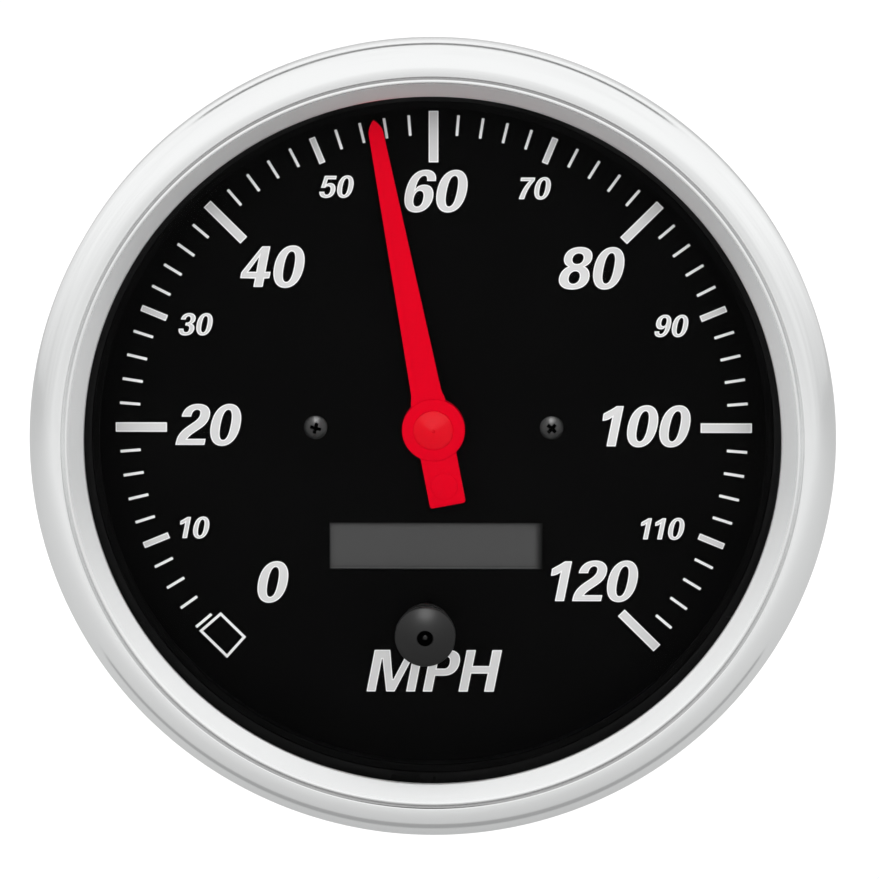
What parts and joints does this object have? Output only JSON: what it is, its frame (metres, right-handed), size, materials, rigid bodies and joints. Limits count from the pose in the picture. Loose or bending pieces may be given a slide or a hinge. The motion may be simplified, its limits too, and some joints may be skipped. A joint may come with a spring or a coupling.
{
  "type": "speedometer",
  "caption": "Round electric speedometer for a 5 inch panel hole: domed metal bezel, black dial with white scale, red pointer, grey display window and trip button.",
  "frame": {"origin": "centre of the panel hole, in the plane where the bezel rests on the panel", "axes": "+Y along the dial's axis towards the rear, so that the dial looks along -Y; +Z is the top of the dial"},
  "size_m": [0.1366, 0.0984, 0.1366],
  "materials": {
    "bezel_aluminium": "polished, faint spun grain",
    "black_rubber": "satin",
    "lens_glass": "clear",
    "black_moulding": "matte",
    "dial_black": "semi-matte paint",
    "dial_print": "screen print",
    "black_screws": "black oxide",
    "white_moulding": "moulded",
    "display_grey": "reflective liquid crystal cell, blank",
    "movement_steel": "drawn",
    "dark_moulding": "moulded",
    "brass": "plain",
    "copper_winding": "enamelled wire, wound",
    "board_green": "solder mask",
    "chip_black": "moulded",
    "capacitor_sleeve": "shrink sleeve",
    "zinc_steel": "zinc plated",
    "case_paint": "satin black paint",
    "pointer_red": "fluorescent red paint",
    "shaft_steel": "ground",
    "magnet_grey": "sintered",
    "bracket_steel": "zinc plated strip",
    "nut_brass": "nickel plated, knurled",
    "bulb_glass": "clear"
  },
  "bodies": {
    "housing": {"bezel": "bezel_aluminium", "lens_gasket": "black_rubber", "lens": "lens_glass", "button_grommet": "black_rubber", "spacer_ring": "black_moulding", "dial_plate": "dial_black", "dial_ticks": "dial_print", "zero_box": "dial_print", "dial_screws": "black_screws", "dial_posts": "white_moulding", "lcd_glass": "display_grey", "lcd_frame": "white_moulding", "inner_sleeve": "white_moulding", "movement_can": "movement_steel", "movement_base": "dark_moulding", "movement_bush": "brass", "bobbin_upper": "white_moulding", "bobbin_lower": "white_moulding", "coil_inner": "copper_winding", "coil_outer": "copper_winding", "circuit_board": "board_green", "microcontroller": "chip_black", "driver_chip": "chip_black", "capacitors": "capacitor_sleeve", "voltage_regulator": "chip_black", "tact_switch": "chip_black", "board_standoffs": "zinc_steel", "board_screws": "zinc_steel", "case_shell": "case_paint", "case_screws": "zinc_steel", "mounting_studs": "zinc_steel", "stud_washers": "zinc_steel", "stud_nuts": "zinc_steel", "connector_header": "dark_moulding", "connector_pins": "brass"},
    "pointer": {"pointer_blade": "pointer_red", "pointer_cap": "pointer_red", "pointer_shaft": "shaft_steel", "rotor_magnet": "magnet_grey", "pointer_weight": "pointer_red"},
    "button": {"button_cap": "black_rubber", "button_stem": "dark_moulding"},
    "bracket": {"clamp_bracket": "bracket_steel", "lock_washers": "zinc_steel"},
    "nut_left": {"thumb_nut_left": "nut_brass"},
    "nut_right": {"thumb_nut_right": "nut_brass"},
    "lamp_left": {"lamp_socket_left": "dark_moulding", "lamp_bulb_left": "bulb_glass", "lamp_contacts_left": "brass"},
    "lamp_right": {"lamp_socket_right": "dark_moulding", "lamp_bulb_right": "bulb_glass", "lamp_contacts_right": "brass"}
  },
  "joints": [
    {"name": "pointer_sweep", "type": "hinge", "parent": "housing", "child": "pointer", "pos_m": [0, 0, 0], "axis": [0, 1, 0], "range_deg": [-124.2, 145.8]},
    {"name": "trip_button", "type": "slide", "parent": "housing", "child": "button", "axis": [0, 1, 0], "range_m": [0, 0.001], "stiffness_N_per_m": 400},
    {"name": "bracket_slide", "type": "slide", "parent": "housing", "child": "bracket", "axis": [0, -1, 0], "range_m": [0, 0.0085]},
    {"name": "thumb_nut_left_turn", "type": "hinge", "parent": "bracket", "child": "nut_left", "pos_m": [-0.032, 0.075, 0], "axis": [0, -1, 0], "range_deg": [0, 3855]},
    {"name": "thumb_nut_right_turn", "type": "hinge", "parent": "bracket", "child": "nut_right", "pos_m": [0.032, 0.075, 0], "axis": [0, -1, 0], "range_deg": [0, 3855]},
    {"name": "lamp_left_twist", "type": "hinge", "parent": "housing", "child": "lamp_left", "pos_m": [-0.027, 0.058, 0.027], "axis": [0, 1, 0], "range_deg": [0, 90]},
    {"name": "lamp_right_twist", "type": "hinge", "parent": "housing", "child": "lamp_right", "pos_m": [0.027, 0.058, 0.027], "axis": [0, 1, 0], "range_deg": [0, 90]}
  ],
  "couplings": [
    {"joint": "thumb_nut_left_turn", "follows": "bracket_slide", "rad_per_m": 7913.3},
    {"joint": "thumb_nut_right_turn", "follows": "bracket_slide", "rad_per_m": 7913.3}
  ]
}
